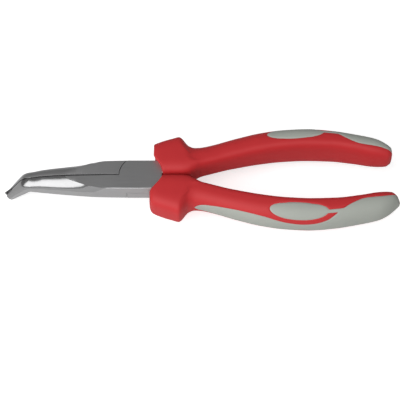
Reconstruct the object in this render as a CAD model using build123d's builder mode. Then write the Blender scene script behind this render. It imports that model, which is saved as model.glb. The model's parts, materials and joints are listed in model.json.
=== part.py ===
from build123d import *
import os
from math import cos, radians, sin, sqrt

# Bent needle nose pliers, jaws closed, lying flat.
# The pivot axis is Z, the jaws point to -X and bend down to -Z, the handles run to +X.
# Z = 0 is the flat back face of the joint. The front half carries the lower jaw (-Y) and
# the upper handle (+Y), the back half carries the upper jaw and the lower handle.

os.makedirs("parts", exist_ok=True)

# ---- joint ----
joint_width = 16.3
joint_thickness = 9.5
disc_radius = 10.6
shoulder_gap = 0.25
lap_gap = 0.1
mid_height = joint_thickness / 2

# ---- rivet ----
rivet_diameter = 6.4
rivet_head_diameter = 8.4
rivet_head_depth = 1.0
rivet_fit = 0.04

# ---- jaws ----
jaw_reach = 55.3
jaw_gap = 0.3
bend_angle = 48.0
bend_radius = 1.5
bend_steps = 5
tip_length = 17.3
tip_width = 4.3
tip_height = 3.3
face_start = 12.0
face_end = 38.0
face_drop = 0.8
tooth_pitch = 1.2
tooth_depth = 0.3
tooth_start = 20.0

# Straight part of the jaws: share of the reach, half width, height of the flat side, crown above.
jaw_stations = [
    (0.00, 8.15, 9.5, 7.0),
    (0.16, 8.13, 9.5, 7.0),
    (0.31, 8.02, 9.2, 7.0),
    (0.36, 7.94, 6.6, 8.6),
    (0.42, 7.81, 4.9, 9.6),
    (0.52, 7.44, 4.6, 6.4),
    (0.60, 7.07, 4.5, 4.7),
    (0.74, 6.34, 4.4, 3.8),
    (0.87, 5.60, 4.1, 3.5),
]
bend_half_width = 4.75
bend_side = 3.1
bend_crown = 2.9

# ---- tangs inside the grips ----
tang_thickness = 5.5
tang_root_inner = 1.0
tang_root_end = 15.0
tang_width = 6.0
tang_end = 104.0
tang_overlap = 3.0

# ---- grips ----
grip_clearance = 0.5
insert_depth = 1.8

# One grip seen along X: distance from the pivot, inner side, outer side, half height.
grip_stations = [
    (4.7, 0.2, 15.8, 5.4),
    (6.0, 0.2, 17.5, 7.7),
    (8.5, 0.2, 18.9, 8.4),
    (12.0, 0.2, 20.1, 8.6),
    (16.0, 0.2, 21.4, 8.6),
    (19.4, 0.2, 22.4, 8.6),
    (24.0, 0.7, 17.8, 8.2),
    (28.0, 3.5, 16.7, 7.8),
    (36.0, 6.0, 18.3, 7.6),
    (48.0, 9.2, 22.1, 8.0),
    (60.0, 11.9, 25.2, 8.7),
    (72.0, 13.7, 26.9, 9.2),
    (84.0, 14.4, 27.4, 9.3),
    (96.0, 14.1, 26.3, 9.3),
    (108.0, 12.6, 24.3, 9.0),
    (118.0, 11.1, 22.0, 8.3),
    (125.0, 10.9, 18.9, 6.9),
    (128.5, 12.4, 16.0, 4.0),
]
grip_corner = 0.42

# ---- soft inserts ----
spine_start = 30.0
spine_half_height = 4.0
pad_centre = 80.0
pad_length = 29.0
pad_width = 9.0
pad_offset = 20.5
neck_width = 2.6
neck_offset = 20.5
rear_start = 99.0
rear_slope_end = 112.0
rear_inner = 13.5


def jaw_section(plane, half_width, side_height, crown):
    """Both jaws cut across: flat back, straight sides and a half elliptical crown."""
    with BuildSketch(plane) as section:
        with BuildLine():
            Polyline(
                (half_width, side_height),
                (half_width, 0),
                (-half_width, 0),
                (-half_width, side_height),
            )
            EllipticalCenterArc((0, side_height), half_width, crown, arc_size=180)
        make_face()
    return section.sketch


def nose_plane(distance, height, tilt):
    """Plane across the nose: local X is +Y, local Y points out of the front face."""
    return Plane((-distance, 0, height), x_dir=(0, 1, 0), z_dir=(1, 0, 0)).rotated((0, -tilt, 0))


def nose_sections():
    """Sections from the pivot, round the bend to the tip."""
    sections = []
    for share, half_width, side_height, crown in jaw_stations:
        plane = nose_plane(share * jaw_reach, 0, 0)
        sections.append(jaw_section(plane, half_width, side_height, crown))
    for step in range(bend_steps):
        tilt = bend_angle * step / (bend_steps - 1)
        distance = jaw_reach + bend_radius * sin(radians(tilt))
        height = bend_radius * (cos(radians(tilt)) - 1)
        plane = nose_plane(distance, height, tilt)
        sections.append(jaw_section(plane, bend_half_width, bend_side, bend_crown))
    distance += tip_length * cos(radians(bend_angle))
    height -= tip_length * sin(radians(bend_angle))
    plane = nose_plane(distance, height, bend_angle)
    sections.append(jaw_section(plane, tip_width / 2, tip_height / 2, tip_height / 2))
    return sections


def jaw_teeth(first, last, height):
    """Square bars set on edge across the gap, one for each groove of the gripping faces."""
    bar = (jaw_gap / 2 + tooth_depth) * sqrt(2)
    count = int((last - first) / tooth_pitch)
    with BuildPart() as teeth:
        with BuildSketch(Plane.XY) as grooves:
            with Locations(*[(-first - index * tooth_pitch, 0) for index in range(count)]):
                Rectangle(bar, bar, rotation=45)
        extrude(grooves.sketch, height)
    return teeth.part


def grip_form(side, inset):
    """Outer form of one grip, drawn in all round by the inset."""
    sections = []
    for distance, inner, outer, half_height in grip_stations:
        depth = outer - inner - 2 * inset
        height = 2 * (half_height - inset)
        if depth < inset:
            continue
        with BuildSketch(Plane.YZ.offset(distance)) as section:
            with Locations((side * (inner + outer) / 2, mid_height)):
                RectangleRounded(depth, height, grip_corner * min(depth, height))
        sections.append(section.sketch)
    with BuildPart() as form:
        loft(sections, ruled=True)
    return form.part


def tang_form(side):
    """Steel tang: a full thickness root beside the joint and a thinner tongue in the grip."""
    route = [(tang_root_end - tang_overlap, (tang_root_inner + joint_width / 2) / 2)]
    for distance, inner, outer, _ in grip_stations:
        if tang_root_end + tang_width < distance <= tang_end:
            route.append((distance, (inner + outer) / 2))
    left = [(x, side * (y + tang_width / 2)) for x, y in route]
    right = [(x, side * (y - tang_width / 2)) for x, y in reversed(route)]
    with BuildPart() as tang:
        with BuildSketch(Plane.XY) as root:
            with Locations((tang_root_end / 2, side * (tang_root_inner + joint_width / 2) / 2)):
                Rectangle(tang_root_end, joint_width / 2 - tang_root_inner)
        extrude(root.sketch, joint_thickness)
        with BuildSketch(Plane.XY.offset(mid_height - tang_thickness / 2)) as tongue:
            with BuildLine():
                Polyline(*left, *right, close=True)
            make_face()
        extrude(tongue.sketch, tang_thickness)
    return tang.part


def rivet_form(extra):
    """Shank with a countersunk head at each face, grown by the extra all round."""
    shank = rivet_diameter / 2 + extra
    head = rivet_head_diameter / 2 + extra
    with BuildPart() as form:
        with BuildSketch(Plane.XZ) as outline:
            with BuildLine():
                Polyline(
                    (0, 0),
                    (head, 0),
                    (shank, rivet_head_depth),
                    (shank, joint_thickness - rivet_head_depth),
                    (head, joint_thickness),
                    (0, joint_thickness),
                    close=True,
                )
            make_face()
        revolve(outline.sketch, Axis.Z)
    return form.part


def insert_form(side):
    """Places on a grip that are soft: spine, one pad on each face with its neck, and rear cap."""
    middle = [(x, side * (inner + outer) / 2) for x, inner, outer, _ in grip_stations]
    with BuildPart() as soft:
        with BuildSketch(Plane.XZ) as spine:
            with Locations(((spine_start + rear_start) / 2, mid_height)):
                SlotOverall(rear_start - spine_start + 2 * spine_half_height, 2 * spine_half_height)
        extrude(spine.sketch, -side * 2 * pad_offset)
        with BuildSketch(Plane.XY.offset(-joint_width)) as outer_side:
            with BuildLine():
                Polyline(
                    *middle,
                    (middle[-1][0], side * 2 * pad_offset),
                    (middle[0][0], side * 2 * pad_offset),
                    close=True,
                )
            make_face()
        extrude(outer_side.sketch, 3 * joint_width, mode=Mode.INTERSECT)
        with BuildSketch(Plane.XY.offset(-joint_width)) as faces:
            with Locations((pad_centre, side * pad_offset)):
                Ellipse(pad_length / 2, pad_width / 2)
            with Locations(((pad_centre + rear_start + pad_length / 2) / 2, side * neck_offset)):
                Rectangle(rear_start - pad_centre, neck_width)
            with BuildLine():
                Polyline(
                    (rear_start, side * neck_offset),
                    (rear_slope_end, side * rear_inner),
                    (2 * rear_slope_end, side * rear_inner),
                    (2 * rear_slope_end, side * 2 * pad_offset),
                    (rear_start, side * 2 * pad_offset),
                    close=True,
                )
            make_face()
        extrude(faces.sketch, 3 * joint_width)
    return soft.part


# ---- both jaws as one nose, flat ground on its front face ----
with BuildPart() as nose:
    loft(nose_sections(), ruled=True)
    with BuildSketch(Plane.XZ.offset(-joint_width)) as face_side:
        with BuildLine():
            Polyline(
                (0, -2 * tip_length),
                (0, joint_thickness),
                (-face_start, joint_thickness),
                (-face_end, joint_thickness - face_drop),
                (-2 * jaw_reach, joint_thickness - face_drop),
                (-2 * jaw_reach, -2 * tip_length),
                close=True,
            )
        make_face()
    extrude(face_side.sketch, 2 * joint_width, mode=Mode.INTERSECT)

tip_plane = nose_plane(jaw_reach, 0, bend_angle)
straight_teeth = jaw_teeth(tooth_start, jaw_reach - tooth_pitch, 2 * joint_thickness)
tip_teeth = jaw_teeth(tooth_pitch, tip_length, 2 * joint_thickness)
tip_teeth = tip_teeth.moved(Location((-jaw_reach, 0, 0), (0, -bend_angle, 0)))
rivet_hole = rivet_form(rivet_fit)


def jaw_form(side):
    """The part of the nose on one side of the gap, with its gripping face cut."""
    with BuildPart() as jaw:
        with BuildSketch(Plane.XY.offset(-2 * tip_length)) as one_side:
            with Locations((-jaw_reach, side * (jaw_gap / 2 + joint_width))):
                Rectangle(2 * jaw_reach, 2 * joint_width)
        extrude(one_side.sketch, 4 * tip_length)
        add(nose.part, mode=Mode.INTERSECT)
        add(straight_teeth, mode=Mode.SUBTRACT)
        add(tip_teeth, mode=Mode.SUBTRACT)
    return jaw.part


def disc_room(base):
    """Room for the other half's joint plate, from the base through half the joint's thickness."""
    with BuildPart() as room:
        with BuildSketch(Plane.XY.offset(base)) as round_room:
            Circle(disc_radius + shoulder_gap)
        extrude(round_room.sketch, mid_height + lap_gap / 2)
    return room.part


# ---- steel half in front: lower jaw, front joint plate, upper tang ----
with BuildPart() as front_half:
    with BuildSketch(Plane.XY) as front_disc:
        Circle(disc_radius)
        Rectangle(3 * disc_radius, joint_width, mode=Mode.INTERSECT)
    extrude(front_disc.sketch, joint_thickness)
    add(jaw_form(-1))
    add(tang_form(1))
    add(disc_room(0), mode=Mode.SUBTRACT)
    add(rivet_hole, mode=Mode.SUBTRACT)

# ---- steel half behind: upper jaw, back joint plate, lower tang ----
with BuildPart() as back_half:
    with BuildSketch(Plane.XY) as back_disc:
        Circle(disc_radius)
        Rectangle(3 * disc_radius, joint_width, mode=Mode.INTERSECT)
    extrude(back_disc.sketch, joint_thickness)
    add(jaw_form(1))
    add(tang_form(-1))
    add(disc_room(mid_height - lap_gap / 2), mode=Mode.SUBTRACT)
    add(rivet_hole, mode=Mode.SUBTRACT)

# ---- rivet: fixed in the front half, the back half turns on it ----
with BuildPart() as rivet:
    add(rivet_form(0))

# ---- grips: a hard red sleeve moulded over each tang, a soft insert moulded into each sleeve ----
with BuildPart() as joint_room:
    with BuildSketch(Plane.XY.offset(-joint_width)) as round_clearance:
        Circle(disc_radius + grip_clearance)
    extrude(round_clearance.sketch, 3 * joint_width)


def soft_insert(side):
    """The outer skin of the grip where it is soft."""
    with BuildPart() as soft:
        add(grip_form(side, 0))
        add(grip_form(side, insert_depth), mode=Mode.SUBTRACT)
        add(insert_form(side), mode=Mode.INTERSECT)
    return soft.part


def hard_sleeve(side, insert):
    """The grip without its insert, the tang's socket and the room round the joint."""
    with BuildPart() as sleeve:
        add(grip_form(side, 0))
        add(insert, mode=Mode.SUBTRACT)
        add(tang_form(side), mode=Mode.SUBTRACT)
        add(joint_room.part, mode=Mode.SUBTRACT)
    return sleeve.part


with BuildPart() as upper_insert:
    add(soft_insert(1))

with BuildPart() as lower_insert:
    add(soft_insert(-1))

with BuildPart() as upper_sleeve:
    add(hard_sleeve(1, upper_insert.part))

with BuildPart() as lower_sleeve:
    add(hard_sleeve(-1, lower_insert.part))

pieces = {
    "front_half_lower_jaw": front_half,
    "back_half_upper_jaw": back_half,
    "pivot_rivet": rivet,
    "upper_grip_sleeve": upper_sleeve,
    "lower_grip_sleeve": lower_sleeve,
    "upper_soft_insert": upper_insert,
    "lower_soft_insert": lower_insert,
}
for name, piece in pieces.items():
    piece.part.label = name
    export_step(piece.part, "parts/" + name + ".step")
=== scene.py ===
import bpy
import json
import numpy as np
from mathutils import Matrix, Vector


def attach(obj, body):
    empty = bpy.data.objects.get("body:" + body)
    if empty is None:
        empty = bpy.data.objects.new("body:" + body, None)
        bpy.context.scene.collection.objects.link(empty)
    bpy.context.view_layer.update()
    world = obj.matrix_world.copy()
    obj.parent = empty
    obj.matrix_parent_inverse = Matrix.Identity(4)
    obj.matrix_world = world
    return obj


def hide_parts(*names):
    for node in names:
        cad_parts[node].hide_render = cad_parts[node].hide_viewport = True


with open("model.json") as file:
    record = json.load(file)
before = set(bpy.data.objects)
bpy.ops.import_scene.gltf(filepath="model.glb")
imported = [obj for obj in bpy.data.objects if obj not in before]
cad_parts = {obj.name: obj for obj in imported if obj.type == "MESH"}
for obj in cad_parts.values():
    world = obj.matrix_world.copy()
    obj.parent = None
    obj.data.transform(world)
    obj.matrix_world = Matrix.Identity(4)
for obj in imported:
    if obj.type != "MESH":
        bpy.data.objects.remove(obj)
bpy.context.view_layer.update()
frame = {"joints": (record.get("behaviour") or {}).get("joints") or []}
mm = 0.001

# ==== Steel halves ====
# Two forgings of hardened tool steel. Each is one jaw, half of the lap joint and the tang in one grip.
# The joint's faces and sides are ground flat, the jaws are turned half round and polished,
# and the gripping faces carry fine cross teeth. The tips are bent back from the front face.
joint_thickness = 2 * frame["joints"][0]["pos_m"][2] / mm
joint_width = 16.3
disc_radius = 10.6
shoulder_gap = 0.25
lap_gap = 0.1
edge_round = 0.35
jaw_gap = 0.3
jaw_reach = 55.3
bend_angle = np.radians(48)
bend_radius = 1.5
tip_length = 15.65
tooth_pitch = 1.2
tooth_depth = 0.3
tooth_start = 20.0
face_start = 12.0
face_end = 38.0
face_drop = 0.8
tang_inner = 1.0
tang_root_end = 15.0
tang_thickness = 5.5
tang_width = 6.0
seam_step = 0.005
plain_edge = 0.04
inner_edge_share = 0.6
gap_edge = 0.2
crown_start = 17.0
crown_columns = 22
corner_columns = 4
sharp_angle = np.radians(28)
arc_rings = 40
bend_rings = 24
body_start = 11.0
body_rings = 130
root_step = 0.01
tang_start = 16
tang_rings = 60
tang_route = [(15.0, 6.0), (28.0, 10.1), (48.0, 15.6), (72.0, 20.3), (90.0, 20.5), (104.0, 19.0)]

# Along the nose: distance from the pivot, half width, height of the flat side,
# width of the crown, rise of the crown.
nose_stations = [
    (0.0, 8.15, 9.15, 0.35, 0.35),
    (8.0, 8.12, 9.15, 0.35, 0.35),
    (17.0, 8.00, 9.00, 0.40, 0.40),
    (20.5, 7.90, 6.90, 3.90, 5.40),
    (24.0, 7.75, 4.90, 7.40, 8.40),
    (29.0, 7.40, 4.60, 6.92, 6.00),
    (33.5, 7.00, 4.50, 6.50, 4.80),
    (38.0, 6.60, 4.45, 6.10, 4.20),
    (42.0, 6.20, 4.40, 5.70, 3.80),
    (49.0, 5.45, 4.05, 4.95, 3.35),
    (56.5, 4.60, 2.95, 4.10, 2.75),
    (57.7, 4.45, 2.90, 3.95, 2.70),
    (74.0, 2.10, 1.60, 1.60, 1.60),
]


def smooth_curve(at, stations, column):
    """Cubic spans through the stations. Each station's slope is the harmonic mean of the slopes
    beside it, or level where they change sign, so the curve never overshoots a station."""
    table = np.array(stations, float)
    x, y = table[:, 0], table[:, column]
    rise = np.diff(y) / np.diff(x)
    product = rise[:-1] * rise[1:]
    mean = 2 * product / np.where(product > 0, rise[:-1] + rise[1:], 1)
    slope = np.concatenate([rise[:1], np.where(product > 0, mean, 0), rise[-1:]])
    span = np.clip(np.searchsorted(x, at) - 1, 0, len(x) - 2)
    width = x[span + 1] - x[span]
    t = np.clip((at - x[span]) / width, 0, 1)
    start = (1 + 2 * t) * (1 - t) ** 2 * y[span] + t * (1 - t) ** 2 * width * slope[span]
    end = t**2 * (3 - 2 * t) * y[span + 1] - t**2 * (1 - t) * width * slope[span + 1]
    return start + end


def rounded(corner_y, corner_z, way_y, way_z, radius, across_first):
    """Four points of a quarter round at a corner whose material lies along way_y and way_z.
    The first point is on the side that runs along Y if across_first, else on the one along Z."""
    turn = np.linspace(0, np.pi / 2, corner_columns)[None, :]
    y_off = radius[:, None] * (1 - np.sin(turn))
    z_off = radius[:, None] * (1 - np.cos(turn))
    if not across_first:
        y_off, z_off = z_off, y_off
    return corner_y[:, None] + way_y * y_off, corner_z[:, None] + way_z * z_off


def tube_mesh(name, rings, crown=None):
    """Closed mesh over a grid of points: rings along a piece, each a closed loop of points,
    with a fan of triangles closing each end. The crown grid marks with 1 the faces of a crown
    that takes a high polish, and with -1 the gripping faces, which are rougher and carry
    painted shade: their colour is darker as if shaded in the gap between the jaws."""
    count, around = rings.shape[:2]
    first = np.arange(count - 1)[:, None] * around
    here = np.arange(around)[None, :]
    there = (here + 1) % around
    quads = np.stack([first + here, first + there, first + around + there, first + around + here], -1)
    ends = np.array([rings[0].mean(0), rings[-1].mean(0)])
    points = np.concatenate([rings.reshape(-1, 3), ends])
    loop = np.arange(around)
    next_loop = (loop + 1) % around
    last = (count - 1) * around
    near = np.stack([next_loop, loop, np.full(around, count * around)], -1)
    far = np.stack([last + loop, last + next_loop, np.full(around, count * around + 1)], -1)
    mesh = bpy.data.meshes.new(name)
    mesh.from_pydata(points * mm, [], quads.reshape(-1, 4).tolist() + near.tolist() + far.tolist())
    mesh.shade_smooth()
    if crown is not None:
        marks = mesh.attributes.new("crown", "FLOAT", "FACE")
        marks.data.foreach_set("value", np.concatenate([crown.ravel(), np.zeros(2 * around)]))
    piece = bpy.data.objects.new(name, mesh)
    bpy.context.scene.collection.objects.link(piece)
    return piece


def along_nose():
    """Distances from the pivot towards the tip (minus is towards the grips) where rings stand:
    close together on the joint's arcs and at each tooth, wider apart elsewhere."""
    turn = np.radians(np.linspace(0, 90, arc_rings))
    arcs = [radius * np.cos(turn) for radius in (disc_radius, disc_radius + shoulder_gap)]
    arcs = np.concatenate(arcs + [[disc_radius + seam_step, disc_radius + shoulder_gap + seam_step]])
    end = jaw_reach + bend_radius * bend_angle + tip_length
    teeth = np.arange(tooth_start, end - tooth_pitch, tooth_pitch)[:, None]
    teeth = (teeth + np.array([-1, -0.5, 0, 0.5, 1])[None, :] * tooth_depth).ravel()
    bend = jaw_reach + bend_radius * np.linspace(0, bend_angle, bend_rings)
    body = np.linspace(body_start, end, body_rings)
    tang = -np.linspace(tang_start, tang_route[-1][0], tang_rings)
    tang = np.concatenate([[-tang_root_end, -tang_root_end - root_step], tang])
    return np.unique(np.round(np.concatenate([arcs, -arcs, teeth, bend, body, tang, [0.0]]), 4))


def steel_half(name, front):
    """Each ring is an eight cornered section across the half: the jaw or tang at full thickness
    and the joint plate at half thickness, bounded by the joint's round shoulders. The back half
    is the front half turned over, with its jaw's crown still on the front side. Past the reach,
    the rings turn about a line behind the jaws, which bends the tip."""
    s = along_nose()
    x = -s
    middle = joint_thickness / 2 + lap_gap / 2
    nose = np.clip(s, 0, nose_stations[-1][0])
    half_width, side, crown_width, crown_rise = [
        smooth_curve(nose, nose_stations, column) for column in (1, 2, 3, 4)
    ]
    face = joint_thickness - face_drop * np.clip((s - face_start) / (face_end - face_start), 0, None)
    face = np.minimum(face, side + crown_rise)
    disc = np.sqrt(np.clip(disc_radius**2 - x**2, 0, None))
    room = np.sqrt(np.clip((disc_radius + shoulder_gap) ** 2 - x**2, 0, None))
    half = joint_width / 2
    from_tooth = (s - tooth_start + tooth_pitch / 2) % tooth_pitch - tooth_pitch / 2
    teeth = np.clip(tooth_depth - np.abs(from_tooth), 0, None)
    teeth = np.where(s > tooth_start - tooth_pitch / 2, teeth, 0)
    inner_face = -jaw_gap / 2 - teeth
    tang_y = np.interp(x, *np.array(tang_route).T)
    in_tang = x > tang_root_end
    top = np.where(in_tang, joint_thickness / 2 + tang_thickness / 2, joint_thickness)
    bottom = joint_thickness - top

    low = np.where(s >= 0, -half_width, np.where(x < disc_radius, -np.minimum(half, disc), tang_inner))
    low = np.where(in_tang, tang_y - tang_width / 2, low)
    high = np.where(s > disc_radius, inner_face, np.minimum(half, disc))
    high = np.where(s < 0, half, high)
    high = np.where(in_tang, tang_y + tang_width / 2, high)
    shoulder = np.maximum(-np.maximum(room, jaw_gap / 2), low)
    left = np.where(s > disc_radius + shoulder_gap, inner_face, shoulder)
    left = np.where(s < 0, low, left)
    right = np.where(s < 0, np.where(x < disc_radius + shoulder_gap, np.minimum(room, half), low), high)
    has_left = (left > low + 1e-6) & (s >= 0)
    has_right = (right < high - 1e-6) & (s < 0)
    base_left = np.where(has_left, bottom, middle)
    base_right = np.where(has_right, bottom, middle)
    base_left = np.where(s > disc_radius + shoulder_gap, 0, base_left)
    base_right = np.where(s > disc_radius + shoulder_gap, 0, base_right)
    base_left = np.where(x > disc_radius + shoulder_gap, bottom, base_left)
    lap = np.where(np.abs(s) > disc_radius + shoulder_gap, (base_left + top) / 2, middle)

    # The corner on the jaw's outer front edge: an elliptical crown cut off by the ground face.
    turn = np.linspace(0, 1, crown_columns)[None, :]
    if not front:
        turn = 1 - turn
    reach = np.arcsin(np.clip((face - side) / crown_rise, 0, 1))[:, None] * turn
    on_nose = (s > 0)[:, None]
    crown_y = low[:, None] + crown_width[:, None] * (1 - np.cos(reach))
    crown_lift = crown_rise[:, None] * np.sin(reach)
    if front:
        crown_z = np.where(on_nose, side[:, None], (top - edge_round)[:, None]) + crown_lift
        top_face = np.where(s > 0, face, top)
    else:
        crown_z = np.where(on_nose, joint_thickness - side[:, None], (bottom + edge_round)[:, None])
        crown_z = crown_z - crown_lift
        top_face = top
    small = np.full(len(s), edge_round)
    tiny = np.full(len(s), plain_edge)
    thin = np.minimum(small, np.abs(left - low) / 2)
    low_base = base_left
    if not front:
        low_base = np.where(s > disc_radius + shoulder_gap, joint_thickness - face, base_left)
        low_base = np.where((s > 0) & has_left, joint_thickness - face, low_base)
    right_base = np.where(s > disc_radius + shoulder_gap, low_base, base_right)
    corners = []
    if front:
        corners.append((crown_y, crown_z))
    else:
        corners.append(rounded(low, top, 1, -1, small, False))
    corners.append(rounded(high, top_face, -1, -1, small * inner_edge_share, True))
    corners.append(rounded(high, right_base, -1, 1, np.where(has_right, small, tiny), False))
    corners.append(rounded(right, right_base, 1, 1, tiny * has_right, True))
    corners.append(rounded(right, lap, -1, 1, tiny * 0, False))
    corners.append(rounded(left, lap, 1, 1, tiny * 0, True))
    corners.append(rounded(left, low_base, -1, 1, np.minimum(thin, gap_edge), False))
    if front:
        corners.append(rounded(low, low_base, 1, 1, thin, True))
    else:
        flat = (~has_left & (s > 0) & (s < disc_radius + shoulder_gap))[:, None]
        crown_z = np.where(flat | ((s < 0) & (x < disc_radius))[:, None], middle, crown_z)
        corners.append((crown_y, crown_z))
    y = np.concatenate([c[0] for c in corners], 1)
    z = np.concatenate([c[1] for c in corners], 1)
    polish_and_painted_shade = np.zeros(y.shape)
    if front:
        polish_and_painted_shade[:, : crown_columns - 1] = (s > crown_start)[:, None]
        gripping_column = crown_columns + corner_columns - 1
    else:
        gripping_column = 2 * corner_columns - 1
    # Gripping faces are marked -1: the steel makes them rougher and paints them darker, painted shade in
    # the gap between the jaws.
    polish_and_painted_shade[s > disc_radius, gripping_column] = -1
    if not front:
        y, z = -y[:, ::-1], joint_thickness - z[:, ::-1]
        polish_and_painted_shade = np.roll(polish_and_painted_shade[:, ::-1], -1, 1)

    turned = np.clip((s - jaw_reach) / bend_radius, 0, bend_angle)[:, None]
    past = np.clip(s - jaw_reach - bend_radius * bend_angle, 0, None)[:, None]
    straight = np.minimum(s, jaw_reach)[:, None]
    out = straight + (bend_radius + z) * np.sin(turned) + past * np.cos(turned)
    up = (bend_radius + z) * np.cos(turned) - bend_radius - past * np.sin(turned)
    rings = np.stack([-out, y, up], -1)[::-1]
    polish_and_painted_shade = polish_and_painted_shade[::-1]
    return tube_mesh(name, rings, polish_and_painted_shade[:-1])


front_half = steel_half("front_half", True)
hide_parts("front_half_lower_jaw")
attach(front_half, "front")
back_half = steel_half("back_half", False)
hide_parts("back_half_upper_jaw")
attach(back_half, "back")
for half in (front_half, back_half):
    half.data.set_sharp_from_angle(angle=sharp_angle)
    flats = half.modifiers.new("flats", "WEIGHTED_NORMAL")
    flats.keep_sharp = True


class Shade:
    """An output socket of a material's nodes. Sums on it add Math nodes, and node adds any other."""

    def __init__(self, tree, socket=None):
        self.tree = tree
        self.socket = socket

    def node(self, kind, settings, values, output=0):
        """A new node of that kind, with its settings made first and then its sockets' values or links."""
        made = self.tree.nodes.new(kind)
        for name, value in settings.items():
            setattr(made, name, value)
        for name, value in values.items():
            if isinstance(value, Shade):
                self.tree.links.new(value.socket, made.inputs[name])
            else:
                made.inputs[name].default_value = value
        return Shade(self.tree, made.outputs[output])

    def maths(self, operation, first, second):
        return self.node("ShaderNodeMath", {"operation": operation}, {0: first, 1: second})

    def __add__(self, other):
        return self.maths("ADD", self, other)

    def __sub__(self, other):
        return self.maths("SUBTRACT", self, other)

    def __rsub__(self, other):
        return self.maths("SUBTRACT", other, self)

    def __mul__(self, other):
        return self.maths("MULTIPLY", self, other)

    __radd__ = __add__
    __rmul__ = __mul__


def new_material(name):
    """A node material with one Principled shader, and its tree's empty Shade to build on."""
    material = bpy.data.materials.new(name)
    material.use_nodes = True
    return material, Shade(material.node_tree), material.node_tree.nodes["Principled BSDF"]


def plug(shader, **links):
    """Links each value to the shader's socket of that name, with _ for a space."""
    for name, value in links.items():
        value.tree.links.new(value.socket, shader.inputs[name.replace("_", " ")])


def ground_steel():
    """Ground flats with fine straight scratches along the tool. The crown attribute is 1 on the turned
    crown, with a polish that leaves it nearly smooth, and -1 on the gripping faces, which are rougher
    and darker: painted shade for the gap between the jaws."""
    material, tree, shader = new_material("ground steel")
    place = tree.node("ShaderNodeTexCoord", {}, {}, "Object")
    crown = tree.node("ShaderNodeAttribute", {"attribute_name": "crown"}, {}, "Fac")
    along = tree.node("ShaderNodeMapping", {}, {"Vector": place, "Scale": (60, 4200, 4200)})
    grain = {"Vector": along, "Scale": 1, "Detail": 4, "Roughness": 0.7}
    scratch = tree.node("ShaderNodeTexNoise", {}, grain)
    cloud = tree.node("ShaderNodeTexNoise", {}, {"Vector": place, "Scale": 120, "Detail": 3})
    shader.inputs["Metallic"].default_value = 1
    tone = scratch * 0.10 + cloud * 0.04 + 0.39
    # The crown's tone is 0.10 lower. The gripping faces' tone is 0.20 lower: painted shade in the gap
    # between the jaws.
    tone = tone - crown * 0.10 + crown.maths("MINIMUM", crown, 0.0) * 0.30
    colour = tree.node("ShaderNodeCombineColor", {}, {"Red": tone, "Green": tone, "Blue": tone * 1.01})
    rough = 0.36 + scratch * 0.14 - crown * 0.19
    height = scratch * (1 - crown * 0.9)
    bump = tree.node("ShaderNodeBump", {}, {"Height": height, "Strength": 0.25, "Distance": 0.00003})
    plug(shader, Base_Color=colour, Roughness=rough, Normal=bump)
    return material


steel = ground_steel()
for half in (front_half, back_half):
    half.data.materials.append(steel)


# ==== Rivet ====
# A headed pin of the same steel, pressed through the joint and ground flush with both faces,
# so that only a hairline ring shows.
rivet_radius = 4.2
rivet_edge = 0.06
rivet_proud = 0.01
rivet_points = 120


def rivet_mesh(name):
    """A turned cylinder with a fine chamfer on both ends: rings of reach and level about the pivot."""
    turn = np.linspace(0, 2 * np.pi, rivet_points, endpoint=False)[None, :]
    inside = rivet_radius - rivet_edge
    reach = np.array([inside, rivet_radius, rivet_radius, inside])[:, None]
    low, high = -rivet_proud, joint_thickness + rivet_proud
    level = np.array([low, low + rivet_edge, high - rivet_edge, high])[:, None]
    level = np.broadcast_to(level, (len(level), rivet_points))
    return tube_mesh(name, np.stack([reach * np.cos(turn), reach * np.sin(turn), level], -1))


rivet = rivet_mesh("rivet")
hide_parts("pivot_rivet")
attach(rivet, "front")
rivet.data.set_sharp_from_angle(angle=sharp_angle)
rivet.data.materials.append(steel)


# ==== Grips ====
# Each tang carries a hard red sleeve, moulded on, with a flared guard beside the joint and a scooped
# thumb rest behind it. Soft grey rubber is moulded into it: a spine down the outer side,
# an oval pad on each broad face and the whole rear, all flush behind a fine witness groove.
grip_start = 4.7
grip_end = 128.5
joint_clearance = 0.5
guard_reach = 14
ring_steps = 300
end_steps = 12
points_round = 168

# The upper guard stands back from the joint and the upper grip ends earlier than the lower one.
upper_set_back = 1.8
upper_set_back_span = 9
upper_end_short = 2.2
upper_end_from = 106

# The scoop behind the guard leans: its distance grows from the outer side to the inner.
scoop_lean = 10.0
scoop_from, scoop_growth = 9, 10
scoop_full, scoop_fading = 22, 32
scoop_turn, scoop_turn_span = 0.64, 0.45

# The groove between red and grey, and how the hidden surface sinks beyond it.
groove_width = 0.45
groove_depth = 0.22
sink_slope = 1.5
sunk = 0.9
insert_end_back = 0.25
insert_end_from, insert_end_span = 122, 4

# The oval pad, its neck, and how much further the outer zone reaches on the back face.
pad_centre, pad_half_length = 77.8, 14.3
pad_way, pad_half_width = 9.9, 4.85
neck_way, neck_half_width = 9.5, 0.9
neck_start, neck_end = 88.0, 101.0
zone_start_slope = 0.6
back_width = 2.6
back_from, back_growth = 35, 30
back_full, back_fading = 88, 12

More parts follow.
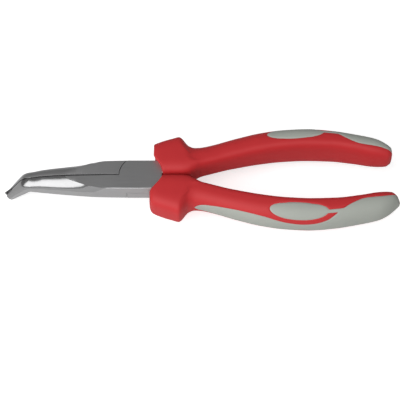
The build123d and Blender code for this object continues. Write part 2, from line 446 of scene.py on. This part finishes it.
# Across one grip: distance from the pivot, inner side, outer side, half height,
# share of the depth inside the ridge line, roundness outside and inside.
grip_stations = [
    (4.7, 5.0, 15.4, 5.2, 0.50, 3.0, 3.0),
    (5.2, 2.6, 16.5, 6.9, 0.50, 3.4, 3.4),
    (6.4, 0.4, 17.6, 7.9, 0.50, 3.6, 3.6),
    (8.5, 0.2, 18.6, 8.3, 0.50, 3.6, 3.8),
    (12.0, 0.2, 20.0, 8.5, 0.50, 3.6, 3.8),
    (16.0, 0.2, 21.3, 8.6, 0.50, 3.6, 3.8),
    (19.2, 0.2, 22.3, 8.6, 0.50, 3.4, 3.8),
    (20.2, 0.2, 21.8, 8.5, 0.50, 3.2, 3.8),
    (24.0, 0.8, 17.6, 7.9, 0.46, 2.6, 3.6),
    (27.0, 2.4, 16.6, 7.7, 0.45, 2.4, 3.4),
    (30.0, 4.2, 16.8, 7.6, 0.44, 2.3, 3.3),
    (36.0, 6.0, 18.3, 7.5, 0.42, 2.3, 3.3),
    (48.0, 9.2, 22.1, 8.0, 0.42, 2.3, 3.4),
    (60.0, 11.9, 25.2, 8.6, 0.42, 2.3, 3.5),
    (72.0, 13.7, 26.9, 9.1, 0.42, 2.3, 3.5),
    (84.0, 14.4, 27.4, 9.3, 0.42, 2.3, 3.5),
    (96.0, 14.1, 26.3, 9.3, 0.42, 2.3, 3.4),
    (108.0, 12.4, 24.2, 9.0, 0.42, 2.3, 3.2),
    (118.0, 10.3, 21.9, 8.4, 0.44, 2.3, 3.0),
    (124.0, 9.7, 18.8, 7.1, 0.46, 2.2, 2.6),
    (127.0, 11.2, 16.5, 4.8, 0.50, 2.0, 2.2),
    (128.5, 12.4, 15.4, 1.4, 0.50, 2.0, 2.0),
]

# Soft outer zone: distance from the pivot, and its edge's way round the grip from the outer line.
# It runs as a spine, narrows beside the pad, and widens over the rear.
zone_stations = [
    (27.0, 0.6),
    (29.5, 2.4),
    (36.0, 3.7),
    (42.0, 4.6),
    (48.0, 5.3),
    (54.4, 5.5),
    (60.6, 5.1),
    (66.8, 3.8),
    (73.0, 2.5),
    (79.2, 1.8),
    (85.4, 2.5),
    (91.6, 4.6),
    (95.4, 7.5),
    (99.5, 10.4),
    (104.0, 12.5),
    (110.0, 13.9),
    (118.0, 12.9),
    (124.0, 10.4),
    (127.0, 8.0),
    (128.5, 5.0),
]


def eased(share):
    """A smooth step from nought to one as the share goes from nought to one."""
    share = np.clip(share, 0, 1)
    return share**2 * (3 - 2 * share)


def grip_rings(side):
    """Sections across the grip, each two half superellipses that meet on its ridge line: x, y, z,
    and w, the way round the section from its outer line, in millimetres."""
    steps = np.concatenate([np.linspace(0, 1, ring_steps), 1 - 0.5 ** np.linspace(6, 10, end_steps)])
    x = (grip_start + (grip_end - grip_start) * np.unique(steps))[:, None]
    turn = np.linspace(0, 2 * np.pi, points_round, endpoint=False)[None, :]
    if side > 0:
        set_back = upper_set_back * (1 - eased((x - grip_start) / upper_set_back_span))
        x = x + set_back - upper_end_short * eased((x - upper_end_from) / (grip_end - upper_end_from))
    lean = scoop_lean * eased((x - scoop_from) / scoop_growth)
    lean = lean * (1 - eased((x - scoop_full) / scoop_fading))
    placed = x + lean * eased((scoop_turn - np.abs(1 - turn / np.pi)) / scoop_turn_span)
    outer, tall, share, round_out, round_in = [
        smooth_curve(x, grip_stations, column) for column in range(2, 7)
    ]
    inner = smooth_curve(placed, grip_stations, 1)
    ridge = inner + (outer - inner) * share
    cos, sin = np.cos(turn), np.sin(turn)
    outside = cos >= 0
    power = 2 / np.where(outside, round_out, round_in)
    depth = np.where(outside, outer - ridge, ridge - inner)
    y = ridge + np.sign(cos) * depth * np.abs(cos) ** power
    z = tall * np.sign(sin) * np.abs(sin) ** power
    step = np.hypot(np.diff(y, axis=1), np.diff(z, axis=1))
    way = np.concatenate([np.zeros((len(x), 1)), np.cumsum(step, 1)], 1)
    back_way = way[:, -1:] + np.hypot(y[:, :1] - y[:, -1:], z[:, :1] - z[:, -1:]) - way
    return placed, y * side, z + joint_thickness / 2, np.minimum(way, back_way)


def soft_edge(x, z, w):
    """Signed distance in millimetres from the edge between hard and soft, over the unrolled grip;
    it is above zero where the grip is soft. A union of the outer zone, the oval pad and its neck."""
    wider = back_width * eased((x - back_from) / back_growth) * (1 - eased((x - back_full) / back_fading))
    zone = smooth_curve(x, zone_stations, 1) + np.where(z < joint_thickness / 2, wider, 0) - w
    zone = np.minimum(zone, (x - zone_stations[0][0]) * zone_start_slope)
    from_pad = np.hypot((x - pad_centre) / pad_half_length, (w - pad_way) / pad_half_width)
    pad = pad_half_width * (1 - from_pad)
    neck = np.minimum(neck_half_width - np.abs(w - neck_way), np.minimum(x - neck_start, neck_end - x))
    return np.maximum(zone, np.maximum(pad, neck))


def grip_piece(name, side, soft):
    """The grip's outer form, drawn in where the other material shows, so that the two surfaces
    cross in a groove along the edge between them."""
    x, y, z, w = grip_rings(side)
    edge = soft_edge(x, z, w) * (1 if soft else -1)
    y_middle = y.mean(1, keepdims=True)
    z_middle = joint_thickness / 2
    reach = np.hypot(y - y_middle, z - z_middle) + 1e-9
    groove = groove_depth * np.clip(1 - edge / groove_width, 0, 1) ** 2
    drawn_in = np.where(edge > 0, groove, groove_depth - edge * sink_slope)
    drawn_in = np.minimum(drawn_in, sunk)
    drawn_in = np.minimum(drawn_in, reach * 0.5)
    y = y_middle + (y - y_middle) * (1 - drawn_in / reach)
    z = z_middle + (z - z_middle) * (1 - drawn_in / reach)
    if soft:
        keep = x[:, 0] > zone_stations[0][0] - 2
        x, y, z = x[keep], y[keep], z[keep]
        x = x - insert_end_back * eased((x - insert_end_from) / insert_end_span)
    else:
        close = np.clip(disc_radius + joint_clearance - np.hypot(x, y), 0, None)
        x = x + close * (np.abs(y) < guard_reach)
    rings = np.stack([x, y, z], -1)
    if side < 0:
        rings = rings[:, ::-1]
    return tube_mesh(name, rings)


for side, place, body in ((1, "upper", "front"), (-1, "lower", "back")):
    sleeve = grip_piece(place + "_sleeve", side, False)
    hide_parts(place + "_grip_sleeve")
    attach(sleeve, body)
    insert = grip_piece(place + "_insert", side, True)
    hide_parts(place + "_soft_insert")
    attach(insert, body)


def moulded_red():
    """Hard red plastic with a fine spark-eroded mould texture and a soft sheen."""
    material, tree, shader = new_material("moulded red plastic")
    place = tree.node("ShaderNodeTexCoord", {}, {}, "Object")
    grain = tree.node("ShaderNodeTexNoise", {}, {"Vector": place, "Scale": 2600, "Detail": 2})
    cloud = tree.node("ShaderNodeTexNoise", {}, {"Vector": place, "Scale": 60, "Detail": 3})
    shift = cloud * 0.05 - 0.025
    green = 0.026 + shift * 0.1
    blue = 0.030 + shift * 0.1
    colour = tree.node("ShaderNodeCombineColor", {}, {"Red": 0.56 + shift, "Green": green, "Blue": blue})
    bump = tree.node("ShaderNodeBump", {}, {"Height": grain, "Strength": 0.25, "Distance": 0.00006})
    shader.inputs["Specular IOR Level"].default_value = 0.35
    plug(shader, Base_Color=colour, Roughness=0.50 + grain * 0.10, Normal=bump)
    return material


def soft_grey():
    """Soft grey rubber, dull, with a slightly coarser grain than the red."""
    material, tree, shader = new_material("soft grey rubber")
    place = tree.node("ShaderNodeTexCoord", {}, {}, "Object")
    grain = tree.node("ShaderNodeTexNoise", {}, {"Vector": place, "Scale": 2000, "Detail": 3})
    cloud = tree.node("ShaderNodeTexNoise", {}, {"Vector": place, "Scale": 45, "Detail": 3})
    tone = 0.36 + cloud * 0.05 + grain * 0.03
    tint = {"Red": tone, "Green": tone * 1.05, "Blue": tone * 0.95}
    colour = tree.node("ShaderNodeCombineColor", {}, tint)
    bump = tree.node("ShaderNodeBump", {}, {"Height": grain, "Strength": 0.35, "Distance": 0.00008})
    plug(shader, Base_Color=colour, Roughness=0.62 + grain * 0.12, Normal=bump)
    return material


red_plastic = moulded_red()
grey_rubber = soft_grey()
for place in ("upper", "lower"):
    bpy.data.objects[place + "_sleeve"].data.materials.append(red_plastic)
    bpy.data.objects[place + "_insert"].data.materials.append(grey_rubber)


# ==== Floor, camera and lights ====
# A plain pale floor level with the lowest point of the tip, glowing a little for the camera alone so
# that it stays white. One large softbox stands over the tip's side, and a weak even light fills in.
floor_half = 2
floor_height = -0.012
corners = [(-floor_half, -floor_half, 0), (floor_half, -floor_half, 0)]
corners += [(floor_half, floor_half, 0), (-floor_half, floor_half, 0)]
floor_mesh = bpy.data.meshes.new("floor")
floor_mesh.from_pydata(corners, [], [(0, 1, 2, 3)])
floor = bpy.data.objects.new("floor", floor_mesh)
bpy.context.scene.collection.objects.link(floor)
floor.location = (0, 0, floor_height)
floor_material, floor_tree, floor_shader = new_material("white floor")
floor_shader.inputs["Base Color"].default_value = (0.85, 0.85, 0.85, 1)
floor_shader.inputs["Emission Strength"].default_value = 0.6
plug(floor_shader, Emission_Color=floor_tree.node("ShaderNodeLightPath", {}, {}, "Is Camera Ray"))
floor_mesh.materials.append(floor_material)

elevation = np.radians(60)
distance = 0.55
target = Vector((0.0296, -0.0121, 0.0048))
towards = Vector((0, -np.cos(elevation), np.sin(elevation)))
camera_data = bpy.data.cameras.new("camera")
camera_data.lens = 99.8
camera = bpy.data.objects.new("camera", camera_data)
bpy.context.scene.collection.objects.link(camera)
camera.location = target + towards * distance
camera.rotation_euler = (-towards).to_track_quat("-Z", "Y").to_euler()
bpy.context.scene.camera = camera

world = bpy.data.worlds.new("studio")
world.use_nodes = True
background = world.node_tree.nodes["Background"]
background.inputs["Color"].default_value = (1, 1, 1, 1)
background.inputs["Strength"].default_value = 0.22
bpy.context.scene.world = world
bpy.context.scene.view_settings.view_transform = "Standard"
lamp_data = bpy.data.lights.new("softbox", "AREA")
lamp_data.energy = 7.4
lamp_data.size = 1.0
lamp = bpy.data.objects.new("softbox", lamp_data)
lamp.location = (-0.28, -0.40, 0.58)
lamp.rotation_euler = (lamp.location - target).to_track_quat("Z", "Y").to_euler()
bpy.context.scene.collection.objects.link(lamp)
